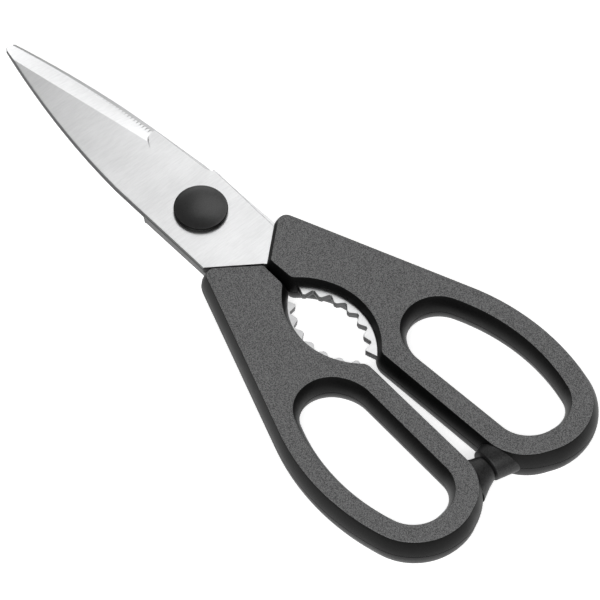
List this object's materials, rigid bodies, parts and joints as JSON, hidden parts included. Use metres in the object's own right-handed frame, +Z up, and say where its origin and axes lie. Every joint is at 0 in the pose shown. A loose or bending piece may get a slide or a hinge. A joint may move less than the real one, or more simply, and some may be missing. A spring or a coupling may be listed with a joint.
{
  "type": "poultry shears",
  "caption": "Kitchen shears for poultry, with two steel blades, moulded loop handles, a toothed nutcracker opening and a capped pivot.",
  "frame": {"origin": "on the surface the closed shears lie on, under the middle of their length and width", "axes": "+X along the closed shears towards the blade tips, +Z up out of that surface"},
  "size_m": [0.2138, 0.087, 0.0107],
  "materials": {
    "blade_steel": "fine brushed",
    "pivot_steel": "turned",
    "handle_plastic": "fine moulded grain",
    "cap_plastic": "satin"
  },
  "bodies": {
    "lower_half": {"lower_blade": "blade_steel", "lower_blade_handle": "handle_plastic"},
    "upper_half": {"upper_blade": "blade_steel", "upper_blade_handle": "handle_plastic", "pivot_screw": "pivot_steel", "spring_washer": "pivot_steel", "pivot_nut": "pivot_steel", "upper_pivot_cap": "cap_plastic", "lower_pivot_cap": "cap_plastic"}
  },
  "joints": [
    {"name": "pivot_hinge", "type": "hinge", "parent": "lower_half", "child": "upper_half", "pos_m": [0.0259, 0, 0.00535], "axis": [0, 0, 1], "range_deg": [0, 100]}
  ]
}
